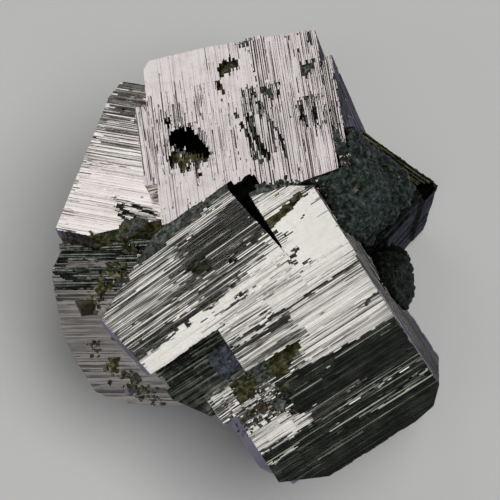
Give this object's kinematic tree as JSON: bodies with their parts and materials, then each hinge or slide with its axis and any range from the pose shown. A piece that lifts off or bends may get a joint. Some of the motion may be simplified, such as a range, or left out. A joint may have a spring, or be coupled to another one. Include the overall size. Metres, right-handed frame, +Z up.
{
  "type": "pyrite crystal specimen",
  "caption": "Hand-sized group of intergrown striated pyrite cubes with grey-green rock caught between them, cut flat to rest.",
  "frame": {"origin": "a point of the flat cut that the group rests on, under the middle of its best side", "axes": "+Z up, out of the resting surface; +X to the viewer's right; the best side faces up and is tipped 20 degrees towards -Y"},
  "size_m": [0.0787, 0.0881, 0.0563],
  "materials": {
    "pyrite": "bright metallic lustre, finely striated",
    "matrix": "matt, granular grey-green"
  },
  "bodies": {
    "root": {"pyrite_crystals": "pyrite", "matrix_main": "matrix", "matrix_right": "matrix", "matrix_pocket": "matrix", "matrix_notch": "matrix", "matrix_corner": "matrix"}
  },
  "joints": []
}
